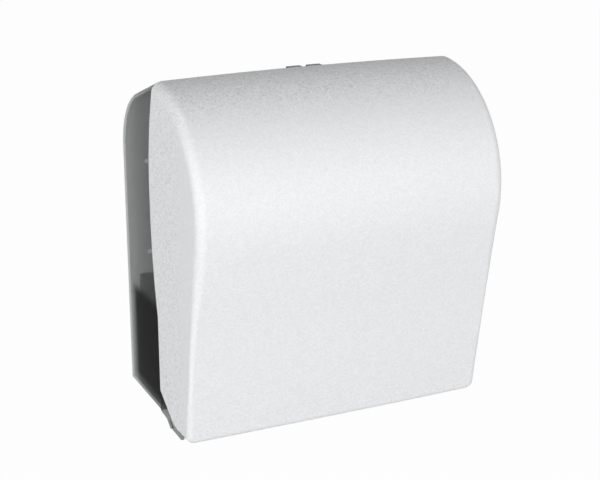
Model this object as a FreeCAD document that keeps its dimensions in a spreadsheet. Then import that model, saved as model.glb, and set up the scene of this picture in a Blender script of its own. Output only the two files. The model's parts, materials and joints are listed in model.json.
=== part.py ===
import FreeCAD, Part
import math
import os
import Sketcher

# A wall-mounted dispenser for paper towel rolls: a smoked rear body, a light front cover that
# swings down on two pins, two roll arms, and a feed module with a self-cutting drum, a sprung
# pinch roller and a small feed lever beside the paper outlet.
#
# X runs along the width, -Y leaves the wall and +Z is up. Sizes below are written as a fitter
# would measure them: depths from the wall, and heights above the line of the cover's lower edge.
# The origin is the centre of the four wall screws, on the wall.

SIZES = {
    # Cabinet
    "cabinet_width": 330.0,
    "mount_height": 195.0,
    "body_wall": 3.0,
    "floor_height": 5.0,
    "parting_gap": 0.8,
    "top_parting_depth": 106.6,
    "back_parting_depth": 86.6,
    "back_parting_height": 225.0,
    "lower_parting_depth": 99.6,
    "knee_height": 108.0,
    "side_corner_height": 28.0,
    "upper_parting_radius": 320.0,
    "lower_parting_radius": 500.0,
    "top_step": 0.577,
    "parting_lean": 21.0,
    "top_slope": 19.5,
    "back_arc_radius": 67.6,
    "parting_corner_round": 16.0,
    "body_edge_round": 9.0,
    "body_corner_round": 8.0,
    "body_floor_round": 2.5,
    "wall_screw_edge_room": 30.0,
    "wall_screw_spacing_z": 100.0,
    "wall_slot_radius": 2.75,
    "wall_slot_length": 10.0,
    # Cover
    "cover_wall": 2.8,
    "cover_arc_depth": 102.0,
    "cover_arc_height": 232.0,
    "cover_arc_radius": 119.0,
    "cover_crown": 2.5,
    "front_slant": 13.0,
    "foot_slant": 9.0,
    "waist_depth": 194.8,
    "waist_height": 105.0,
    "waist_blend": 25.0,
    "foot_depth": 178.0,
    "cover_bottom": -1.0,
    "cover_toe_depth": 149.0,
    "cover_lip": 10.0,
    "bulge_edge_round": 10.0,
    "waist_edge_round": 4.0,
    "foot_edge_round": 6.0,
    "foot_corner_round": 9.0,
    # Cover hinge
    "hinge_depth": 146.0,
    "hinge_height": 10.0,
    "hinge_pin_radius": 3.0,
    "hinge_pin_length": 12.2,
    "hinge_boss_radius": 7.5,
    "hinge_boss_length": 4.0,
    "bush_wall": 2.0,
    "side_clearance": 0.6,
    "running_clearance": 0.05,
    # Base tray
    "tray_thickness": 3.0,
    "tray_back_depth": 72.0,
    "tray_step_reach": 9.0,
    "tray_nose_reach": 19.0,
    "tray_front_depth": 154.0,
    "cheek_height": 36.0,
    "cheek_width": 3.0,
    "cheek_drop": 5.0,
    "wing_front_depth": 129.0,
    "ear_width": 5.0,
    "lever_slot_width": 10.0,
    "lever_slot_behind": 6.0,
    # Feed module
    "module_side_room": 53.0,
    "plate_thickness": 3.0,
    "plate_bottom": 24.0,
    "plate_top": 130.0,
    "plate_reach": 47.0,
    "plate_chamfer": 14.0,
    "flange_width": 20.0,
    "drum_depth": 112.0,
    "drum_height": 80.0,
    "drum_radius": 38.0,
    "drum_wall": 3.0,
    "drum_side_gap": 4.0,
    "drum_end_thickness": 4.0,
    "grip_thickness": 0.8,
    "grip_width": 14.0,
    "grip_count": 5,
    "shaft_radius": 5.0,
    "bush_radius": 10.0,
    "window_start": 218.0,
    "window_sweep": 44.0,
    "tie_rod_radius": 4.0,
    "stud_radius": 2.4,
    "nut_radius": 4.6,
    "nut_thickness": 3.0,
    "rear_rod_behind": 78.0,
    "rear_rod_height": 60.0,
    "front_rod_reach": 42.0,
    "front_rod_height": 114.0,
    # Gear housings
    "housing_width": 42.0,
    "housing_behind": 88.0,
    "housing_reach": 24.0,
    "housing_bottom": 32.0,
    "housing_top": 132.0,
    "housing_wall": 2.5,
    "housing_round": 8.0,
    "wheel_window_half": 29.0,
    # Guides
    "guide_gap": 8.0,
    "guide_thickness": 2.0,
    "guide_top_angle": 80.0,
    "guide_bottom_angle": -42.0,
    "chute_top_reach": 14.0,
    "chute_top_height": 35.0,
    "chute_foot_reach": 36.0,
    # Knife
    "knife_pivot_radius": 24.7,
    "knife_pivot_angle": 182.0,
    "knife_rest_reach": 34.5,
    "knife_side_gap": 14.0,
    "carrier_thickness": 5.0,
    "knife_pin_radius": 2.5,
    "blade_thickness": 1.0,
    "blade_width": 14.0,
    "tooth_pitch": 4.0,
    "tooth_depth": 2.5,
    # Drive
    "ratchet_radius": 20.0,
    "ratchet_teeth": 12,
    "ratchet_tooth": 3.5,
    "ratchet_width": 5.0,
    "lever_width": 5.5,
    "lever_hub_radius": 13.0,
    "lever_arm_width": 10.0,
    "lever_tip_reach": 48.0,
    "lever_tip_height": -7.0,
    "feed_pawl_angle": 120.0,
    "check_pawl_angle": 250.0,
    "pawl_pin_radius": 2.0,
    "pawl_pin_reach": 29.0,
    "pawl_clearance": 0.4,
    "wheel_radius": 32.0,
    "wheel_width": 12.0,
    "wheel_grooves": 24,
    "wheel_groove_radius": 2.0,
    "crank_width": 5.0,
    "crank_radius": 14.0,
    "crank_throw": 9.0,
    "crank_pin_radius": 2.5,
    "spring_radius": 3.5,
    "spring_wire": 0.9,
    "spring_turns": 16,
    "spring_post_behind": 72.0,
    "spring_post_height": 50.0,
    # Pinch roller
    "pinch_angle": 135.0,
    "pinch_radius": 9.0,
    "pinch_gap": 0.35,
    "pinch_core_radius": 3.0,
    "pinch_side_gap": 12.0,
    "pinch_arm_reach": 24.0,
    "pinch_arm_width": 3.0,
    "pinch_arm_half_height": 6.0,
    # Roll arms
    "bracket_side_room": 52.0,
    "bracket_width": 18.0,
    "bracket_plate": 5.0,
    "bracket_half_height": 18.0,
    "lug_thickness": 5.0,
    "lug_reach": 12.0,
    "arm_pin_radius": 2.5,
    "arm_pin_depth": 15.0,
    "arm_pin_side_room": 43.0,
    "arm_barrel_radius": 5.5,
    "arm_thickness": 5.0,
    "arm_half_height": 11.0,
    "arm_boss_radius": 14.0,
    "axle_radius": 6.0,
    "hub_radius": 19.0,
    "hub_nose_radius": 15.0,
    "hub_flange_radius": 24.0,
    "hub_flange": 3.0,
    "hub_length": 15.0,
    "hub_gap": 0.4,
    "clip_thickness": 1.5,
    "clip_radius": 8.5,
    # Latch
    "latch_half_width": 26.0,
    "latch_back_depth": 87.0,
    "latch_front_depth": 103.5,
    "latch_drop": 28.3,
    "latch_wall": 2.4,
    "button_inner_x": 3.8,
    "button_width": 14.4,
    "button_back_depth": 93.0,
    "button_gap": 0.35,
    "bar_height": 5.0,
    "bar_drop": 17.3,
    "latch_travel": 2.7,
    "latch_spring_turns": 4,
    "catch_depth": 109.5,
    "catch_length": 12.0,
    "catch_half_width": 12.0,
    "catch_drop": 16.3,
    # Screws
    "screw_radius": 1.7,
    "screw_head_radius": 3.4,
    "screw_head_height": 2.2,
}

doc = FreeCAD.newDocument("towel_dispenser")
sheet = doc.addObject("Spreadsheet::Sheet", "Sizes")


class Size(float):
    """A number that keeps the spreadsheet formula it was worked out from."""

    def __new__(cls, number, formula):
        made = super().__new__(cls, number)
        made.formula = formula
        return made

    def __add__(self, other):
        return Size(float(self) + float(other), f"({self.formula} + {formula_of(other)})")

    def __radd__(self, other):
        return Size(float(other) + float(self), f"({formula_of(other)} + {self.formula})")

    def __sub__(self, other):
        return Size(float(self) - float(other), f"({self.formula} - {formula_of(other)})")

    def __rsub__(self, other):
        return Size(float(other) - float(self), f"({formula_of(other)} - {self.formula})")

    def __mul__(self, other):
        return Size(float(self) * float(other), f"({self.formula} * {formula_of(other)})")

    def __rmul__(self, other):
        return Size(float(other) * float(self), f"({formula_of(other)} * {self.formula})")

    def __truediv__(self, other):
        return Size(float(self) / float(other), f"({self.formula} / {formula_of(other)})")

    def __neg__(self):
        return Size(-float(self), f"(0 - {self.formula})")


def formula_of(number):
    return number.formula if isinstance(number, Size) else f"({float(number)})"


def sine(angle):
    return Size(math.sin(math.radians(angle)), f"sin({formula_of(angle)})")


def cosine(angle):
    return Size(math.cos(math.radians(angle)), f"cos({formula_of(angle)})")


def root(number):
    return Size(math.sqrt(number), f"sqrt({formula_of(number)})")


class Sizes:
    """The driving sizes by name, each one a cell of the spreadsheet."""


s = Sizes()
for row, (name, number) in enumerate(SIZES.items(), 1):
    sheet.set(f"A{row}", name)
    sheet.set(f"B{row}", str(number))
    sheet.setAlias(f"B{row}", name)
    setattr(s, name, Size(number, f"Sizes.{name}"))


def follow(name, size):
    """A size that follows from others, in a cell of its own."""
    cell = len(vars(s)) + 1
    sheet.set(f"A{cell}", name)
    sheet.set(f"B{cell}", "=" + formula_of(size).replace("Sizes.", ""))
    sheet.setAlias(f"B{cell}", name)
    setattr(s, name, Size(float(size), f"Sizes.{name}"))


# The roll arms, the feed module and the wall screws keep their distance from the cabinet's sides.
follow("wall_screw_spacing_x", s.cabinet_width - 2 * s.wall_screw_edge_room)
follow("plate_inner_x", s.cabinet_width / 2 - s.module_side_room)
follow("drum_length", 2 * (s.plate_inner_x - s.drum_side_gap))
follow("knife_length", 2 * (s.plate_inner_x - s.knife_side_gap))
follow("pinch_length", 2 * (s.plate_inner_x - s.pinch_side_gap))
follow("bracket_inner_x", s.cabinet_width / 2 - s.bracket_side_room)
follow("arm_pin_x", s.cabinet_width / 2 - s.arm_pin_side_room)
# What carries, houses and feeds the drum keeps its distance from the drum's axis.
follow("rear_rod_depth", s.drum_depth - s.rear_rod_behind)
follow("front_rod_depth", s.drum_depth + s.front_rod_reach)
follow("plate_front", s.drum_depth + s.plate_reach)
follow("housing_back", s.drum_depth - s.housing_behind)
follow("housing_front", s.drum_depth + s.housing_reach)
follow("chute_top_depth", s.drum_depth + s.chute_top_reach)
follow("chute_foot_depth", s.drum_depth + s.chute_foot_reach)
follow("lever_tip_depth", s.drum_depth + s.lever_tip_reach)
follow("lever_slot_depth", s.drum_depth - s.lever_slot_behind)
follow("spring_post_depth", s.drum_depth - s.spring_post_behind)
follow("tray_step_depth", s.drum_depth + s.tray_step_reach)
follow("tray_nose_depth", s.drum_depth + s.tray_nose_reach)
# The top of the body lies a step below the cover's top, and the latch hangs from it.
top_run = s.top_parting_depth + s.parting_gap - s.cover_arc_depth
follow("top_parting_height", s.cover_arc_height - s.top_step
       + root(s.cover_arc_radius * s.cover_arc_radius - top_run * top_run))
follow("latch_bottom", s.top_parting_height - s.latch_drop)
follow("bar_bottom", s.top_parting_height - s.bar_drop)
follow("catch_bottom", s.top_parting_height - s.catch_drop)
doc.recompute()

HALF = s.cabinet_width / 2
FACE_UP = FreeCAD.Vector(0, 0, 1)
ALONG_X = FreeCAD.Rotation(FreeCAD.Vector(0, 1, 0), 90)
OUT_OF_WALL = FreeCAD.Rotation(FreeCAD.Vector(1, 0, 0), 90)
SIDE_VIEW = FreeCAD.Rotation(FreeCAD.Vector(0, 1, 0), 180)
TOUCH = 0.01
nodes = {}


def bind(thing, where, size):
    """Tie one property of an object to the spreadsheet."""
    thing.setExpression(where, formula_of(size))


def place(thing, x, y, z):
    """Put an object at x, y and a height above the cover's lower line."""
    bind(thing, "Placement.Base.x", x)
    bind(thing, "Placement.Base.y", y)
    bind(thing, "Placement.Base.z", z - s.mount_height)
    return thing


def box(name, x, depth, height, width, thickness, tall):
    """A block from x, and from a depth outwards, and from a height upwards."""
    made = doc.addObject("Part::Box", name)
    bind(made, "Length", width)
    bind(made, "Width", thickness)
    bind(made, "Height", tall)
    return place(made, x, -(depth + thickness), height)


def rod(name, radius, x, length, depth, height):
    """A round bar along X."""
    made = doc.addObject("Part::Cylinder", name)
    made.Placement = FreeCAD.Placement(FreeCAD.Vector(), ALONG_X)
    bind(made, "Radius", radius)
    bind(made, "Height", length)
    return place(made, x, -depth, height)


def post(name, radius, x, depth, height, tall):
    """A round bar that stands upright."""
    made = doc.addObject("Part::Cylinder", name)
    bind(made, "Radius", radius)
    bind(made, "Height", tall)
    return place(made, x, -depth, height)


def stub(name, radius, x, depth, length, height):
    """A round bar that leaves the wall, from a depth outwards."""
    made = doc.addObject("Part::Cylinder", name)
    made.Placement = FreeCAD.Placement(FreeCAD.Vector(), OUT_OF_WALL)
    bind(made, "Radius", radius)
    bind(made, "Height", length)
    return place(made, x, -depth, height)


def fuse(name, pieces):
    made = doc.addObject("Part::MultiFuse", name)
    made.Shapes = pieces
    return made


def group(name, pieces):
    made = doc.addObject("Part::Compound", name)
    made.Links = pieces
    return made


def cut(name, base, tools):
    made = doc.addObject("Part::Cut", name)
    made.Base = base
    made.Tool = tools[0] if len(tools) == 1 else fuse(name + "_tools", tools)
    return made


def mirror(name, source):
    """The same piece on the other side of the middle plane."""
    made = doc.addObject("Part::Mirroring", name)
    made.Source = source
    made.Base = FreeCAD.Vector()
    made.Normal = FreeCAD.Vector(1, 0, 0)
    return made


def node(label, thing):
    """Name a finished sub-part."""
    thing.Label = label
    nodes[label] = thing
    return thing


def arc_between(start, end, radius):
    """The arc from start to end with its centre on the right, or on the left if radius is under 0."""
    run = end - start
    half = run.Length / 2
    side = 1 if radius > 0 else -1
    right = FreeCAD.Vector(run.y, -run.x, 0).normalize() * side
    centre = (start + end) / 2 + right * math.sqrt(radius * radius - half * half)
    first = math.atan2(start.y - centre.y, start.x - centre.x)
    last = math.atan2(end.y - centre.y, end.x - centre.x)
    circle = Part.Circle(centre, FACE_UP, abs(radius))
    if radius > 0:
        return Part.ArcOfCircle(circle, last, first), 2, 1
    return Part.ArcOfCircle(circle, first, last), 1, 2


def outline(body, name, x, corners, holes=()):
    """A closed side view outline at x, clockwise, with every corner tied to the spreadsheet.

    A corner is (depth, height), or (depth, height, radius) where an arc leads to the next one.
    A hole is (radius, depth, height)."""
    sketch = body.newObject("Sketcher::SketchObject", name)
    plane = [item for item in body.Origin.OriginFeatures if item.Role == "YZ_Plane"][0]
    sketch.AttachmentSupport = [(plane, "")]
    sketch.MapMode = "FlatFace"
    sketch.AttachmentOffset = FreeCAD.Placement(FreeCAD.Vector(0, 0, float(x)), SIDE_VIEW)
    bind(sketch, "AttachmentOffset.Base.z", x)
    spots = [(corner[0], corner[1] - s.mount_height) for corner in corners]
    runs = []
    for index, corner in enumerate(corners):
        start = FreeCAD.Vector(*[float(value) for value in spots[index]], 0)
        end = FreeCAD.Vector(*[float(value) for value in spots[(index + 1) % len(corners)]], 0)
        if len(corner) == 2:
            runs.append((sketch.addGeometry(Part.LineSegment(start, end)), 1, 2))
        else:
            curve, first, last = arc_between(start, end, corner[2])
            runs.append((sketch.addGeometry(curve), first, last))
            number = sketch.addConstraint(Sketcher.Constraint("Radius", runs[-1][0], abs(float(corner[2]))))
            tie(sketch, number, corner[2] if corner[2] > 0 else -corner[2])
    for index, (curve, first, last) in enumerate(runs):
        following = runs[(index + 1) % len(runs)]
        sketch.addConstraint(Sketcher.Constraint("Coincident", curve, last, following[0], following[1]))
        pin_down(sketch, curve, first, spots[index])
    for radius, depth, height in holes:
        spot = (depth, height - s.mount_height)
        circle = Part.Circle(FreeCAD.Vector(float(spot[0]), float(spot[1]), 0), FACE_UP, float(radius))
        curve = sketch.addGeometry(circle)
        tie(sketch, sketch.addConstraint(Sketcher.Constraint("Radius", curve, float(radius))), radius)
        pin_down(sketch, curve, 3, spot)
    return sketch


def tie(sketch, number, size):
    if isinstance(size, Size):
        sketch.setExpression(f"Constraints[{number}]", size.formula)


def pin_down(sketch, curve, point, spot):
    """Hold a point of a sketch at a place measured from its origin."""
    for kind, size in zip(("DistanceX", "DistanceY"), spot):
        tie(sketch, sketch.addConstraint(Sketcher.Constraint(kind, -1, 1, curve, point, float(size))), size)


def prism(name, x, width, corners, holes=(), rounds=()):
    """A body with a side view outline, padded from x along the width, and rounded where named."""
    body = doc.addObject("PartDesign::Body", name)
    pad = body.newObject("PartDesign::Pad", name + "_pad")
    pad.Profile = outline(body, name + "_outline", x, corners, holes)
    pad.Reversed = True
    bind(pad, "Length", width)
    body.Tip = pad
    for number, (radius, spots) in enumerate(rounds):
        body.recompute(True)
        base = body.Tip
        fillet = body.newObject("PartDesign::Fillet", f"{name}_round{number}")
        fillet.Base = (base, [f"Edge{index}" for index in edges_along_x(body.Shape, spots)])
        bind(fillet, "Radius", radius)
        body.Tip = fillet
    return body


def edges_along_x(shape, spots):
    """The numbers of the straight edges along X that lie on the given side view spots."""
    found = []
    for index, edge in enumerate(shape.Edges, 1):
        middle = edge.BoundBox.Center
        if edge.BoundBox.XLength < 0.5 or edge.BoundBox.YLength > 0.1 or edge.BoundBox.ZLength > 0.1:
            continue
        for depth, height in spots:
            if math.hypot(-middle.y - depth, middle.z - (height - s.mount_height)) < 0.2:
                found.append(index)
    return found


def around(radius, angle, depth=None, height=None):
    """A spot at a radius and an angle from an axis, the drum's unless another is given."""
    return ((s.drum_depth if depth is None else depth) + radius * cosine(angle),
            (s.drum_height if height is None else height) + radius * sine(angle))


# Rear body


def top_height(depth, inset=0.0):
    """Height of the rear body's sloping top at a depth, or of a surface that far inside it."""
    drop = (s.top_parting_depth - depth) * sine(s.top_slope) / cosine(s.top_slope)
    return s.top_parting_height - drop - inset / cosine(s.top_slope)


def body_corners(inset, front):
    """The rear body's side view: up the wall, round the back's arc and along the sloping top."""
    arc_end = s.back_arc_radius - (s.back_arc_radius - inset) * sine(s.top_slope)
    end_height = top_height(arc_end, inset)
    centre_height = end_height - (s.back_arc_radius - inset) * cosine(s.top_slope)
    return [(inset, s.floor_height + inset),
            (inset, centre_height, s.back_arc_radius - inset),
            (arc_end, end_height)] + front


def two_ended(name, half, corners):
    """A solid between the same side view at both ends of the width."""
    body = doc.addObject("PartDesign::Body", name)
    ends = [outline(body, name + "_left", -half, corners), outline(body, name + "_right", half, corners)]
    made = doc.addObject("Part::Loft", name + "_loft")
    made.Sections = ends
    made.Solid = True
    made.Ruled = True
    return made


def rear_body():
    wall = s.body_wall
    block = two_ended("body_block", HALF, body_corners(Size(0.0, "0"), [
        (s.top_parting_depth, s.top_parting_height, -s.upper_parting_radius),
        (s.back_parting_depth, s.back_parting_height, -s.lower_parting_radius),
        (s.lower_parting_depth, s.knee_height),
        (s.lower_parting_depth, s.floor_height)]))
    past = s.top_parting_depth + s.parting_corner_round
    hollow = two_ended("body_hollow", HALF - wall, body_corners(wall, [
        (past, top_height(past, wall)),
        (past, s.floor_height + wall)]))
    doc.recompute()
    rounded = doc.addObject("Part::Fillet", "body_rounded")
    rounded.Base = block
    rounded.Edges = body_rounds(block.Shape, HALF, 0.0)
    carved = doc.addObject("Part::Fillet", "body_hollow_rounded")
    carved.Base = hollow
    carved.Edges = body_rounds(hollow.Shape, HALF - wall, wall)
    holes = [carved] + wall_slots() + latch_windows()
    holes += [stub(f"chassis_hole{index}", s.screw_radius + s.running_clearance, x, -1.0, 2 * wall, height)
              for index, (x, height) in enumerate(chassis_screw_spots())]
    holes += [stub(f"bracket_hole{index}", s.screw_radius + s.running_clearance, x, -1.0, 2 * wall, height)
              for index, (x, height) in enumerate(bracket_screw_spots())]
    holes += [post(f"floor_hole{index}", s.screw_radius + s.running_clearance, x, tray_screw_depth(),
                   s.floor_height - 1.0, wall + 2.0) for index, x in enumerate(tray_screw_places())]
    node("rear_body", cut("rear_body", rounded, holes))


def ends_in_order(edge):
    """Both ends of an edge, in the order in which a fillet takes its two radii."""
    ends = [edge.Vertexes[0].Point, edge.Vertexes[-1].Point]
    return ends[::-1] if edge.Orientation == "Reversed" else ends


def body_rounds(shape, half, inset):
    """Edge rounds of the rear body's sides: largest round the wall face, smallest at the floor."""
    rounds = []
    at_wall, at_top = float(s.body_edge_round - inset), float(s.body_corner_round - inset)
    at_floor = float(s.body_floor_round - inset)
    past_arc = float(s.back_arc_radius / 2)
    for number, edge in enumerate(shape.Edges, 1):
        middle = edge.valueAt((edge.FirstParameter + edge.LastParameter) / 2)
        size = edge.BoundBox
        if size.XLength > 0.1 or abs(abs(middle.x) - half) > 0.1:
            continue
        depth, height = -middle.y, middle.z + s.mount_height
        on_wall = size.YLength < 0.1 and depth < inset + 1
        on_floor = size.ZLength < 0.1 and height < s.floor_height + inset + 1
        on_top = height > s.back_parting_height and size.ZLength < 2 * size.YLength
        if on_wall:
            rounds.append((number, at_wall, at_wall))
        elif on_floor and at_floor > 0:
            rounds.append((number, at_floor, at_floor))
        elif on_top:
            radii = [at_wall if -point.y < past_arc else at_top for point in ends_in_order(edge)]
            rounds.append((number, radii[0], radii[1]))
    return rounds


def wall_slots():
    """Four level slots for the wall screws."""
    made = []
    straight = s.wall_slot_length - 2 * s.wall_slot_radius
    for side in (-1, 1):
        for level in (-1, 1):
            tag = f"slot{side + 1}{level + 1}"
            x = side * s.wall_screw_spacing_x / 2
            height = s.mount_height + level * s.wall_screw_spacing_z / 2
            for end in (-1, 1):
                made.append(stub(f"{tag}_end{end + 1}", s.wall_slot_radius, x + end * straight / 2,
                                 -1.0, s.body_wall + 2.0, height))
            made.append(box(f"{tag}_middle", x - straight / 2, -1.0, height - s.wall_slot_radius,
                            straight, s.body_wall + 2.0, 2 * s.wall_slot_radius))
    return made


def latch_windows():
    """Two windows in the top, one for each latch button."""
    width = s.button_width + 2 * s.button_gap
    length = s.latch_front_depth - s.button_back_depth + 2 * s.button_gap
    low = s.latch_bottom + s.latch_front_depth - s.latch_back_depth
    return [box("window_right", s.button_inner_x - s.button_gap, s.button_back_depth - s.button_gap,
                low, width, length, s.cabinet_width),
            box("window_left", -(s.button_inner_x - s.button_gap) - width,
                s.button_back_depth - s.button_gap, low, width, length, s.cabinet_width)]


# Front cover


def cover_outline(radius, shift, inset):
    """The cover's side view, at a radius about the roll's axis, or the same that far inside."""
    upper, lower = s.front_slant, s.foot_slant
    arc_radius = radius - inset
    knee = (s.cover_arc_depth + arc_radius * cosine(upper), s.cover_arc_height - arc_radius * sine(upper))
    share = inset / (1 + cosine(upper - lower))
    waist = (s.waist_depth + shift - share * (cosine(upper) + cosine(lower)),
             s.waist_height + share * (sine(upper) + sine(lower)))
    above = (waist[0] + s.waist_blend * sine(upper), waist[1] + s.waist_blend * cosine(upper))
    below = (waist[0] - s.waist_blend * sine(lower), waist[1] - s.waist_blend * cosine(lower))
    bend = s.waist_blend * (1 + cosine(upper - lower)) / sine(upper - lower)
    foot = (s.foot_depth + shift - inset, s.cover_bottom + inset)
    return knee, above, below, bend, foot, arc_radius


def cover_top(radius, depth):
    run = depth - s.cover_arc_depth
    return s.cover_arc_height + root(radius * radius - run * run)


def outer_corners(radius, shift):
    knee, above, below, bend, foot, arc_radius = cover_outline(radius, shift, 0.0)
    lean = (radius - s.cover_arc_radius) * sine(s.parting_lean) / cosine(s.parting_lean)
    top = s.top_parting_depth + s.parting_gap + lean
    back = s.lower_parting_depth + s.parting_gap
    return [(top, cover_top(arc_radius, top), arc_radius),
            (knee[0], knee[1]),
            (above[0], above[1], -bend),
            (below[0], below[1]),
            foot,
            (s.cover_toe_depth, s.cover_bottom),
            (back, s.side_corner_height),
            (back, s.knee_height, s.lower_parting_radius),
            (s.back_parting_depth + s.parting_gap, s.back_parting_height, s.upper_parting_radius)]


def inner_corners(radius, shift):
    wall = s.cover_wall
    knee, above, below, bend, foot, arc_radius = cover_outline(radius, shift, wall)
    top = cover_top(arc_radius, s.cover_arc_depth)
    lip = s.foot_depth - s.cover_lip
    return [(s.cover_arc_depth, top, arc_radius),
            (knee[0], knee[1]),
            (above[0], above[1], -(bend + wall)),
            (below[0], below[1]),
            foot,
            (lip, s.cover_bottom + wall),
            (lip, s.cover_bottom - wall),
            (s.body_wall, s.cover_bottom - wall),
            (s.body_wall, top)]


def crowned(name, half, corners):
    """A solid lofted through three side views, the middle one fuller than the two ends."""
    body = doc.addObject("PartDesign::Body", name)
    crown = s.cover_crown
    ends = s.cover_arc_radius
    profiles = [outline(body, name + "_left", -half, corners(ends, -crown / 4)),
                outline(body, name + "_middle", Size(0.0, "0"), corners(ends + crown, crown / 4)),
                outline(body, name + "_right", half, corners(ends, -crown / 4))]
    loft = doc.addObject("Part::Loft", name + "_loft")
    loft.Sections = profiles
    loft.Solid = True
    loft.Ruled = False
    return loft


def edge_round_at(height, inset):
    """The cover's side edges are rounded most at the top and least at the foot."""
    table = [(s.cover_bottom, s.foot_edge_round), (s.waist_height, s.waist_edge_round),
             (s.cover_arc_height - s.cover_arc_radius * sine(s.front_slant), s.bulge_edge_round),
             (s.cover_arc_height + s.cover_arc_radius, s.parting_corner_round)]
    for (low, less), (high, more) in zip(table, table[1:]):
        if height <= high:
            share = max(0.0, (height - low) / (high - low))
            return float(less + (more - less) * share - inset)
    return float(s.parting_corner_round - inset)


def cover_rounds(shape, half, inset):
    """Edge rounds round the cover's front, which shrink from the top corners to the foot."""
    rounds = []
    for number, edge in enumerate(shape.Edges, 1):
        middle = edge.valueAt((edge.FirstParameter + edge.LastParameter) / 2)
        size = edge.BoundBox
        depth, height = -middle.y, middle.z + s.mount_height
        on_side = size.XLength < 0.1 and abs(abs(middle.x) - half) < 0.1
        in_front = depth > s.cover_toe_depth and height > s.cover_bottom + inset + 1
        low = height < s.cover_bottom + s.foot_corner_round
        across = low and size.XLength > 1 and depth > s.cover_toe_depth + s.cover_lip
        up_side = on_side and in_front and size.ZLength > s.foot_corner_round
        if up_side or (across and inset == 0 and size.YLength < s.cover_lip):
            radii = [edge_round_at(point.z + s.mount_height, inset) for point in ends_in_order(edge)]
            rounds.append((number, radii[0], radii[1]))
    return rounds


def corner_trims(name, half, inset, depth):
    """What the rounded lower corners of the cover lack, from a depth outwards, one at each side."""
    radius = s.foot_corner_round - inset
    centre_x = half - radius
    centre_height = s.cover_bottom + inset + radius
    trims = []
    for side, sign in (("right", 1), ("left", -1)):
        start = centre_x if sign > 0 else -centre_x - 2 * radius
        block = box(f"{name}_block_{side}", start, depth, centre_height - 2 * radius,
                    2 * radius, s.cabinet_width, 2 * radius)
        barrel = stub(f"{name}_barrel_{side}", radius, sign * centre_x, depth - 1.0,
                      s.cabinet_width + 2.0, centre_height)
        trims.append(cut(f"{name}_{side}", block, [barrel]))
    return trims


def cover_shell():
    outer = cut("cover_trimmed", crowned("cover_block", HALF, outer_corners),
                corner_trims("cover_trim", HALF, 0.0, s.lower_parting_depth))
    inner = cut("cover_hollow_trimmed", crowned("cover_hollow", HALF - s.cover_wall, inner_corners),
                corner_trims("hollow_trim", HALF - s.cover_wall, s.cover_wall, s.foot_depth - s.cover_lip))
    doc.recompute()
    rounded = doc.addObject("Part::Fillet", "cover_rounded")
    rounded.Base = outer
    rounded.Edges = cover_rounds(outer.Shape, HALF, 0.0)
    carved = doc.addObject("Part::Fillet", "cover_hollow_rounded")
    carved.Base = inner
    carved.Edges = cover_rounds(inner.Shape, HALF - s.cover_wall, s.cover_wall)
    shell = cut("cover_walls", rounded, [carved])
    boss_x = HALF - s.cover_wall - s.hinge_boss_length
    bosses, bores = [], []
    for side, sign in (("right", 1), ("left", -1)):
        length = s.hinge_boss_length + s.cover_wall / 2
        start = boss_x if sign > 0 else -boss_x - length
        bosses.append(rod("hinge_boss_" + side, s.hinge_boss_radius, start, length,
                          s.hinge_depth, s.hinge_height))
        bore_start = boss_x - 1.0 if sign > 0 else -boss_x - s.hinge_boss_length
        bores.append(rod("hinge_bore_" + side, s.hinge_pin_radius + s.bush_wall, bore_start,
                         s.hinge_boss_length + 1.0, s.hinge_depth, s.hinge_height))
    node("cover_shell", cut("cover_shell", fuse("cover_with_bosses", [shell] + bosses), bores))


def hinge_bushes():
    """Plain bearing rings pressed into the cover's hinge bosses."""
    rings = []
    start = HALF - s.cover_wall - s.hinge_boss_length
    for side, x in (("right", start), ("left", -start - s.hinge_boss_length)):
        ring = rod("bush_ring_" + side, s.hinge_pin_radius + s.bush_wall, x, s.hinge_boss_length,
                   s.hinge_depth, s.hinge_height)
        bore = rod("bush_bore_" + side, s.hinge_pin_radius + s.running_clearance, x - 1.0,
                   s.hinge_boss_length + 2.0, s.hinge_depth, s.hinge_height)
        rings.append(cut("hinge_bush_" + side, ring, [bore]))
    node("hinge_bushes", group("hinge_bushes", rings))


def cover_catch():
    """The bracket under the cover's top that the latch holds."""
    inside = s.cover_arc_radius + s.cover_crown - s.cover_wall - s.button_gap
    front = s.catch_depth + s.catch_length
    catch = prism("cover_catch", -s.catch_half_width, 2 * s.catch_half_width, [
        (s.catch_depth, s.catch_bottom),
        (s.catch_depth, cover_top(inside, s.catch_depth)),
        (front, cover_top(inside, front)),
        (front, s.catch_bottom + s.catch_length / 2),
        (s.catch_depth + s.latch_wall, s.catch_bottom)])
    node("cover_catch", catch)


# Base tray


def tray_screw_places():
    near, far = s.plate_inner_x / 3, s.plate_inner_x + s.flange_width
    return [-far, -near, near, far]


def tray_screw_depth():
    return (s.tray_back_depth + s.lower_parting_depth) / 2


def cover_slant_height(depth):
    """Height of the cover's slanting lower edge at a depth."""
    start = s.lower_parting_depth + s.parting_gap
    fall = (s.side_corner_height - s.cover_bottom) / (s.cover_toe_depth - start)
    return s.side_corner_height - (depth - start) * fall


def tray_wing(dip):
    """The tray's outer side below the cover's slanting edge, level with the body's side."""
    back = s.lower_parting_depth + s.side_clearance / 2
    front = s.wing_front_depth
    return [(back, s.floor_height),
            (back, cover_slant_height(back) - s.parting_gap),
            (front, cover_slant_height(front) - s.parting_gap),
            (front, dip - s.tray_thickness / 2),
            (s.tray_step_depth - s.tray_thickness, s.floor_height - s.tray_thickness / 2)]


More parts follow.
